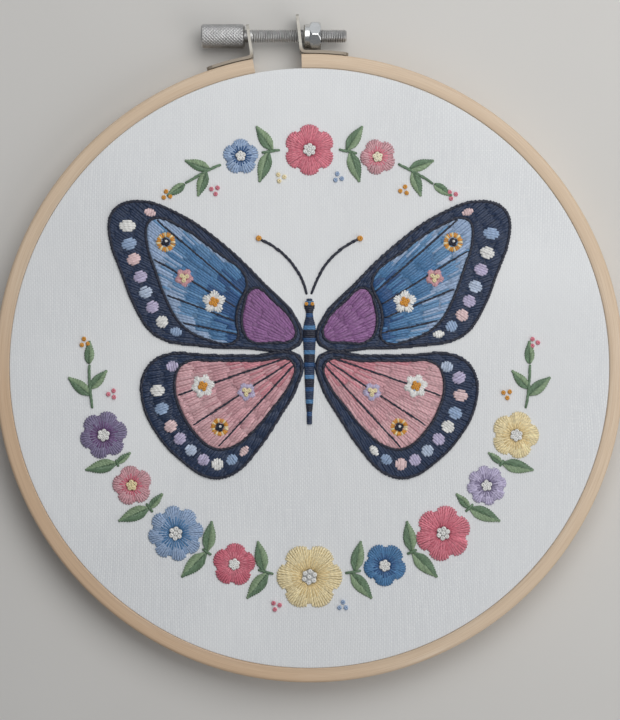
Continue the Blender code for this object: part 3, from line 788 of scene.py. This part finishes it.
def outlines(node):
    """The closed outlines of a node's top face, in millimetres, the longest first."""
    mesh = frame["nodes"][node].data
    top = max(v.co.z for v in mesh.vertices) - 0.01 * MM
    sides = set()
    for face in mesh.polygons:
        corners = [mesh.vertices[i].co for i in face.vertices]
        if min(c.z for c in corners) < top:
            continue
        keys = [tuple(round(float(v), 3) for v in (np.array(c[:2]) - CENTRE) / MM) for c in corners]
        for side in zip(keys, keys[1:] + keys[:1]):
            if side[::-1] in sides:
                sides.remove(side[::-1])
            else:
                sides.add(side)
    onward = dict(sorted(sides))
    loops = []
    while onward:
        here = next(iter(onward))
        loop = []
        while here in onward:
            loop.append(here)
            here = onward.pop(here)
        loops.append(loop)
    return sorted(loops, key=lambda loop: -len(walk(loop, 1.0, True)))


def walk(points, step, closed=False):
    """Evenly spaced points along a path, about a step apart."""
    path = np.array(points, dtype=float)
    if closed:
        path = np.vstack([path, path[:1]])
    reach = np.concatenate([[0], np.cumsum(np.hypot(*np.diff(path, axis=0).T))])
    spots = np.linspace(0, reach[-1], max(2, round(reach[-1] / step) + 1))
    return np.stack([np.interp(spots, reach, path[:, 0]), np.interp(spots, reach, path[:, 1])], axis=1)


def towards(angle):
    return np.array((math.cos(angle), math.sin(angle)))


# Underlay: its rows apart, level, width and painted shade, darker as it lies under the stitches, and how
# far its stitches overlap
UNDER_ROW = ROW * 1.15
UNDER_LIFT = -0.2
UNDER_WIDTH = 0.86
UNDER_SHADE = 0.8
UNDER_OVERLAP = 0.2
# Long and short stitches: how uneven their ends are and how far bands overlap, in lengths
UNEVEN = 0.42
BAND_OVERLAP = 1.08
SHORTEST = 1.0


def underlay(threads, area, hub, dyes):
    """A first low layer along the rays, so that no cloth shows between the stitches over it."""
    low, high, _, reach = area.reach(hub)
    step = UNDER_ROW / reach
    for i in range(int((high - low) / step) + 1):
        angle = low + (i + 0.5) * step
        for inner, outer in area.runs(hub, angle):
            cuts = np.linspace(inner, outer, len(dyes) + 1)
            for dye, a, b in zip(dyes, cuts, cuts[1:]):
                near, far = a - UNDER_OVERLAP, b + UNDER_OVERLAP
                threads.ray(hub, angle, near, far, dye * UNDER_SHADE, UNDER_LIFT, UNDER_WIDTH)


def long_and_short(threads, area, hub, dyes, length=4.4, lift=0.12):
    """Bands of uneven stitches running out from hub, their dye changing from the near edge out."""
    underlay(threads, area, hub, dyes)
    low, high, near, far = area.reach(hub)
    band = near - length * 0.5
    while band < far:
        step = ROW / max(band + length / 2, 6.0)
        for i in range(int((high - low) / step) + 1):
            angle = low + (i + chance.uniform(0.3, 0.7)) * step
            start = band + chance.uniform(0, UNEVEN) * length
            end = band + length * (BAND_OVERLAP + chance.uniform(0, UNEVEN))
            for inner, outer in area.runs(hub, angle):
                a, b = max(start, inner), min(end, outer)
                if b - a < SHORTEST:
                    continue
                a = inner if a - inner < SHORTEST else a
                b = outer if outer - b < SHORTEST else b
                share = ((a + b) / 2 - inner) / (outer - inner) + chance.gauss(0, 0.1)
                dye = dyes[min(len(dyes) - 1, max(0, int(share * len(dyes))))]
                threads.ray(hub, angle, a, b, dye, lift)
        band += length


def stem_line(threads, points, dye, lift=0.3, step=1.3, width=STRAND, closed=False):
    """A rope-like line: each stitch starts beside the middle of the one before."""
    spots = walk(points, step, closed)
    if closed:
        spots = np.vstack([spots, spots[1:2]])
    for start, end in zip(spots, spots[2:]):
        side = np.array((start[1] - end[1], end[0] - start[0])) / max(math.dist(start, end), 0.01) * 0.12
        threads.stitch(start + side, end - side, dye, lift, width)


def back_line(threads, points, dye, lift=0.35, step=2.3, width=STRAND * 0.8):
    """A line of stitches end to end."""
    spots = walk(points, step)
    for start, end in zip(spots, spots[1:]):
        threads.stitch(start, end + (end - start) * 0.06, dye, lift, width)


def seed(threads, spot, heading, length, width, dye, lift=0.42):
    """A small oval of stitches lying along the heading."""
    count = max(2, round(width / ROW))
    side = towards(heading + math.pi / 2)
    for i in range(count):
        off = ((i + 0.5) / count - 0.5) * width
        half = towards(heading) * length / 2 * math.sqrt(1 - (off / width * 1.95) ** 2)
        threads.stitch(spot + side * off - half, spot + side * off + half, dye, lift)


def heart(threads, spot, radius, dye, lift, count):
    """A flower's centre of knots, one in the middle and the rest round it."""
    threads.knot(spot, dye, lift)
    for i in range(count):
        threads.knot(spot + towards(math.tau * i / count + 0.4) * radius, dye, lift)


def blossom(threads, spot, radius, petals, turn, outer, inner, heart_dye, lift=0.36):
    """A small flower of short straight petals, for use on top of other stitches."""
    for p in range(petals):
        axis = turn + math.tau * p / petals
        for j, tip in ((-2, 0.8), (-1, 0.95), (0, 1.0), (1, 0.95), (2, 0.8)):
            angle = axis + j * math.tau / petals / 5.4
            threads.ray(spot, angle, radius * 0.22, radius * tip, outer, lift, root=0.6)
        threads.ray(spot, axis, 0.4, radius * 0.55, inner, lift + 0.1, STRAND * 0.8)
    heart(threads, spot, 0.75, heart_dye, lift + 0.05, 4 if radius > 2.8 else 3)


# Butterfly

UNDER_OUTLINE = 0.2
BUTTERFLY_SCALE = 0.95
BUTTERFLY_LIFT = 4.0
FORE_HUB = (0.5, 1.0)
HIND_HUB = (0.5, 0.5)
FORE_VEINS = (0.2, 0.42, 0.62, 0.82)
HIND_VEINS = (0.25, 0.5, 0.75)
# The border's ovals: steps between tries, how far apart, their size, and the borders' width
CELL_STEP = 1.5
CELL_APART = 3.7
CELL_WIDTH = 2.9
CELL_DEEPEST = 9.5
CELL_BORDER = (4.2, 14)
CELL_DYES = (LILAC, WHITE, SKY, PALE_PINK, LILAC, PALE_BLUE)


def on_butterfly(x, y, side):
    return np.array((side * x * BUTTERFLY_SCALE, y * BUTTERFLY_SCALE + BUTTERFLY_LIFT))


def veins(threads, area, hub, shares):
    """Dark lines that run out from the hub across an area, at shares of its spread."""
    low, high, _, _ = area.reach(hub)
    for share in shares:
        angle = low + (high - low) * share
        for inner, outer in area.runs(hub, angle):
            if outer - inner > 4:
                ends = [hub + towards(angle) * inner, hub + towards(angle) * (outer - 0.3)]
                stem_line(threads, ends, INK, 0.3, width=STRAND * 0.75)


def cells(threads, loops):
    """Small ovals along the widest stretches of a border, across it."""
    border = Area(loops)
    spots = walk(loops[0], CELL_STEP, True)[:-1]
    taken = []
    for i, spot in enumerate(spots):
        ahead = spots[(i + 1) % len(spots)] - spots[i - 1]
        for inward in (math.atan2(ahead[0], -ahead[1]), math.atan2(-ahead[0], ahead[1])):
            runs = border.runs(spot + towards(inward) * 0.05, inward)
            if not runs or runs[0][0] > 0.1 or not CELL_BORDER[0] <= runs[0][1] <= CELL_BORDER[1]:
                continue
            deep = min(runs[0][1], CELL_DEEPEST)
            middle = spot + towards(inward) * deep / 2
            if any(math.dist(middle, other) < CELL_APART for other in taken):
                continue
            taken.append(middle)
            dye = CELL_DYES[len(taken) % len(CELL_DYES)]
            seed(threads, middle, inward, deep * 0.5, CELL_WIDTH, dye, 0.34)


def eyespot(threads, spot, radius, lift=0.34):
    """A gold ring round a dark heart with a light fleck."""
    rays = round(math.tau * radius * 0.8 / ROW)
    for i in range(rays):
        dye = GOLD if i % 3 else YELLOW
        threads.ray(spot, math.tau * i / rays, radius * 0.36, radius, dye, lift, root=0.6)
    heart(threads, spot, 0.55, INK, lift + 0.05, 4)
    threads.knot(spot + (0.15, 0.2), WHITE, lift + 0.42, 0.62)


def wing_piece(node, hub, dyes, length=4.4):
    """A wing piece's threads, filled with long and short stitches, and its area."""
    area = Area(outlines(node), UNDER_OUTLINE)
    threads = Threads()
    long_and_short(threads, area, hub, dyes, length)
    return threads, area


def wings():
    hind_dyes = (ROSE * 0.5 + DUSTY_PINK * 0.5, DUSTY_PINK, DUSTY_PINK, SHELL_PINK)
    for side, word in ((-1, "left"), (1, "right")):
        fore_hub, hind_hub = on_butterfly(*FORE_HUB, side), on_butterfly(*HIND_HUB, side)

        node = f"forewing_root_{word}"
        root, _ = wing_piece(node, fore_hub, (PURPLE, PURPLE, PURPLE), 3.8)
        root.make(node, "thread_purple")

        node = f"forewing_field_{word}"
        fore, area = wing_piece(node, fore_hub, (DEEP_BLUE, BLUE, BLUE, MID_BLUE, SKY))
        veins(fore, area, fore_hub, FORE_VEINS)
        eyespot(fore, on_butterfly(38.4, 29.5, side), 2.7)
        blossom(fore, on_butterfly(25.5, 13.5, side), 3.3, 5, 0.3, WHITE, PALE_PINK, GOLD)
        blossom(fore, on_butterfly(33.5, 20.0, side), 2.6, 5, 1.0, DUSTY_PINK, ROSE, YELLOW)
        fore.make(node, "thread_blue")

        node = f"hindwing_field_{word}"
        hind, area = wing_piece(node, hind_hub, hind_dyes)
        veins(hind, area, hind_hub, HIND_VEINS)
        eyespot(hind, on_butterfly(24.0, -20.0, side), 2.5)
        blossom(hind, on_butterfly(28.5, -9.0, side), 3.3, 6, 0.2, WHITE, SKY, GOLD)
        blossom(hind, on_butterfly(16.8, -10.5, side), 2.6, 5, 0.8, LILAC, PURPLE, YELLOW)
        hind.make(node, "thread_pink")

        for wing, hub in (("forewing", fore_hub), ("hindwing", hind_hub)):
            node = f"{wing}_border_{word}"
            loops = outlines(node)
            border = Threads()
            long_and_short(border, Area(loops, UNDER_OUTLINE), hub, (NAVY, NAVY, NAVY), 4.0, 0.1)
            cells(border, loops)
            for loop in loops:
                stem_line(border, loop, INK, 0.3, closed=True)
            border.make(node, "thread_navy")


def body():
    threads = Threads()
    area = Area(outlines("butterfly_body"))
    bands = (NAVY, NAVY, DEEP_BLUE, INK, INK, BLUE)
    low, high = area.starts[:, 1].min(), area.starts[:, 1].max()
    for i, y in enumerate(np.arange(low + ROW, high, ROW * 0.9)):
        outside = np.array((-20.0, y))
        for inner, outer in area.runs(outside, 0.0):
            threads.ray(outside, 0.0, inner, outer, bands[i // 2 % len(bands)], 0.3)
    for x in (-0.75, 0.75):
        threads.knot((x, high - 1.4), GOLD, 0.5, 0.8)
    threads.make("butterfly_body", "thread_navy")


def antennae():
    for side, word in ((-1, "left"), (1, "right")):
        low, high = ((np.array(c[:2]) - CENTRE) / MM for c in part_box(f"antenna_{word}"))
        inner, outer = (low[0], high[0]) if side > 0 else (high[0], low[0])
        start, end = np.array((inner, low[1])), np.array((outer, high[1]))
        bend = np.array((inner + (outer - inner) * 0.22, low[1] + (high[1] - low[1]) * 0.72))
        shares = np.linspace(0, 1, 12)[:, None]
        path = start * (1 - shares) ** 2 + bend * 2 * shares * (1 - shares) + end * shares**2
        threads = Threads()
        stem_line(threads, path, INK, 0.1)
        threads.knot(end, GOLD, 0.1, 1.2)
        threads.make(f"antenna_{word}", "thread_navy")


# Garland
#   flower: petals, turn in degrees, petal dye, shade dye, heart dye, slot
FLOWERS = {
    "flower_bottom": (6, 0, YELLOW, STRAW, WHITE, "thread_yellow"),
    "flower_bottom_left": (5, 12, ROSE, CORAL, WHITE, "thread_rose"),
    "flower_bottom_right": (5, -20, BLUE, DEEP_BLUE, WHITE, "thread_blue"),
    "flower_low_left": (8, 8, SKY, BLUE, WHITE, "thread_periwinkle"),
    "flower_low_right": (6, 20, CORAL, ROSE, WHITE, "thread_coral"),
    "flower_left": (5, 30, DUSTY_PINK, ROSE, YELLOW, "thread_dusty_pink"),
    "flower_right": (8, 10, LILAC, PLUM_GREY, WHITE, "thread_lilac"),
    "flower_high_left": (6, 15, PLUM_GREY, PLUM, WHITE, "thread_plum_grey"),
    "flower_high_right": (5, 0, YELLOW, STRAW, WHITE, "thread_yellow"),
    "flower_top": (6, 30, CORAL, ROSE, WHITE, "thread_coral"),
    "flower_top_left": (5, 18, SKY, DEEP_BLUE, WHITE, "thread_periwinkle"),
    "flower_top_right": (5, 40, DUSTY_PINK, CORAL, CREAM, "thread_dusty_pink"),
}
#   twig on the left: stem from and to in degrees, distance, leaves as (share, lean, length)
TWIGS = {
    "twig_bottom": (260.2, 255.6, 53.0, [(0.35, 62, 8.6), (0.6, -66, 8.0)]),
    "twig_low": (242.4, 239.3, 53.5, [(0.5, 74, 9.2), (0.5, -70, 8.0)]),
    "twig_mid": (222.7, 219.6, 54.0, [(0.5, 72, 8.6), (0.5, -84, 5.0)]),
    "twig_high": (207.4, 205.2, 54.5, [(0.5, 76, 8.4), (0.5, -78, 4.4)]),
    "twig_end": (190.6, 179.0, 56.0, [(0.3, 44, 7.4), (0.45, -48, 6.4), (1.0, 0, 6.0)]),
    "twig_top": (97.6, 102.6, 56.0, [(0.4, 66, 7.6), (0.6, -62, 8.2)]),
    "twig_top_end": (113.4, 124.0, 56.5, [(0.3, 46, 6.8), (0.4, -44, 6.8), (1.0, 0, 5.6)]),
}
LEAF_FATNESS = 0.2
# How much of a petal is its middle, and the share of shade dye at its edges
PETAL_MIDDLE = 0.4
PETAL_SHADE = 0.28


def flower(node, petals, turn_deg, petal_dye, shade_dye, heart_dye, slot):
    """Petals of long satin stitches, darker short ones over their roots, knots in the middle."""
    threads = Threads()
    area = Area(outlines(node))
    low, high = (np.array(corner[:2]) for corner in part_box(node))
    hub = ((low + high) / 2 - CENTRE) / MM
    radius = max(high - low) / 2 / MM
    rays = round(math.tau * radius * 0.78 / ROW)
    rays += -rays % petals
    per_petal = rays // petals
    for i in range(rays):
        in_petal = (i % per_petal + 0.5) / per_petal - 0.5
        angle = math.radians(turn_deg) + math.tau * ((i + 0.5) / rays - 0.5 / petals)
        edge = area.runs(hub, angle)[0][1]
        edge *= 1.0 - 0.5 * max(0.0, abs(in_petal) - 0.38)
        near = radius * (0.26 if i % 2 else 0.4)
        lift = 0.22 * (1 - (2 * in_petal) ** 2)
        dye = petal_dye
        if abs(in_petal) >= PETAL_MIDDLE:
            dye = petal_dye * (1 - PETAL_SHADE) + shade_dye * PETAL_SHADE
        threads.ray(hub, angle, near, edge, dye, lift, root=0.7)
        if i % 2 == 0:
            far = radius * chance.uniform(0.52, 0.7)
            threads.ray(hub, angle, radius * 0.2, far, shade_dye, lift + 0.16, STRAND * 0.8, 0.7)
    heart(threads, hub, radius * 0.17, heart_dye, 0.32, 6 if radius > 5.4 else 5)
    threads.make(node, slot)


def leaf(threads, base, heading, length):
    """Slanting stitches from a leaf's edges to its middle line, each half in its own green."""
    ahead, across = towards(heading), towards(heading + math.pi / 2)
    for side, dye in ((1, GREEN), (-1, LEAF)):
        for t in np.arange(0.02, 0.9, ROW / length):
            reach = min(1.0, t + 0.3)
            wide = LEAF_FATNESS * length * math.sin(math.pi * reach ** 0.9)
            edge = base + ahead * length * reach + across * side * max(wide, 0.05)
            threads.stitch(base + ahead * length * t, edge, dye, 0.14)
    back_line(threads, [base, base + ahead * length * 0.8], GREEN * 0.75, 0.3, 2.4, STRAND * 0.55)


def twig(node, start_deg, end_deg, distance, leaves):
    threads = Threads()
    start, sweep = math.radians(start_deg), math.radians(end_deg - start_deg)
    quarter = math.copysign(math.pi / 2, sweep)
    outer_side = -1 if sweep > 0 else 1
    for share, lean, length in leaves:
        angle = start + sweep * share
        heading = angle + quarter + outer_side * math.radians(lean)
        leaf(threads, towards(angle) * distance, heading, length)
    stem = [towards(start + sweep * t) * distance for t in np.linspace(0, 1, 9)]
    stem_line(threads, stem, GREEN, 0.2)
    threads.make(node, "thread_green")


def berries():
    """Small knots in threes beside twigs and flowers, the three turned by the place's number."""
    threads = Threads()
    for angle, distance, dye in (
        (187.5, 50.6, CORAL), (352.5, 50.6, GOLD), (173.5, 57.5, GOLD), (366.5, 57.5, CORAL),
        (118.0, 51.2, CORAL), (62.0, 51.2, GOLD), (129.5, 57.0, GOLD), (50.5, 57.0, CORAL),
        (262.0, 61.0, CORAL), (278.0, 61.0, SKY), (98.6, 49.0, YELLOW), (81.4, 49.0, SKY),
    ):
        spot = towards(math.radians(angle)) * distance
        for i in range(3):
            threads.knot(spot + towards(math.tau * i / 3 + angle) * 0.95, dye, 0.0, 0.95)
    threads.make("berries", "thread_coral")


def garland():
    for node, facts in FLOWERS.items():
        flower(node, *facts)
    for name, (start, end, distance, leaves) in TWIGS.items():
        twig(f"{name}_left", start, end, distance, leaves)
        twig(f"{name}_right", 180 - start, 180 - end, distance, leaves)
    berries()


# Studio

PICTURE_HEIGHT_PX = 720
MM_PER_PX = 0.2542
CAMERA_DISTANCE = 0.62
HOOP_BELOW_MIDDLE_PX = 8.1
HOOP_LEFT_OF_MIDDLE_PX = 0.6
SENSOR = 36.0
# Lamps: place, side of the square, watts and colour, all aimed at the origin
LAMPS = {
    "key": ((0.08, 0.16, 0.34), 0.3, 0.76, WARM_LIGHT),
    "side": ((0.36, -0.2, 0.3), 0.4, 0.74, WARM_LIGHT),
    "window": ((0.0, 0.8, 0.47), 0.9, 1.2, COOL_LIGHT),
}
WORLD_STRENGTH = 0.2
FLOOR_REACH = 1.5


def camera():
    data = bpy.data.cameras.new("camera")
    data.sensor_width = SENSOR
    tall = PICTURE_HEIGHT_PX * MM_PER_PX * MM
    data.lens = SENSOR * CAMERA_DISTANCE / tall
    made = bpy.data.objects.new("camera", data)
    across = CENTRE[0] + HOOP_LEFT_OF_MIDDLE_PX * MM_PER_PX * MM
    up = CENTRE[1] + HOOP_BELOW_MIDDLE_PX * MM_PER_PX * MM
    made.location = (across, up, CLOTH_TOP + CAMERA_DISTANCE)
    bpy.context.scene.collection.objects.link(made)
    bpy.context.scene.camera = made


def lamp(name, place, size, watts, colour):
    data = bpy.data.lights.new(name, "AREA")
    data.shape = "SQUARE"
    data.size = size
    data.energy = watts
    data.color = colour
    made = bpy.data.objects.new(name, data)
    made.location = place
    made.rotation_euler = (Vector((0, 0, 0)) - Vector(place)).to_track_quat("-Z", "Y").to_euler()
    made.visible_camera = False
    bpy.context.scene.collection.objects.link(made)


def studio():
    world = bpy.data.worlds.new("studio")
    world.use_nodes = True
    sky = world.node_tree.nodes["Background"].inputs
    sky["Color"].default_value = SKY_LIGHT
    sky["Strength"].default_value = WORLD_STRENGTH
    bpy.context.scene.world = world
    bpy.context.scene.view_settings.view_transform = "Standard"
    for name, facts in LAMPS.items():
        lamp(name, *facts)
    spots = ((-1, -1, 0), (1, -1, 0), (1, 1, 0), (-1, 1, 0))
    points = np.array(spots, dtype=float) * FLOOR_REACH
    floor = mesh_object("floor", points, np.array([[0, 1, 2, 3]]), floor_finish())


hoop()
cloth()
screw_fitting()
wings()
body()
antennae()
garland()
camera()
studio()
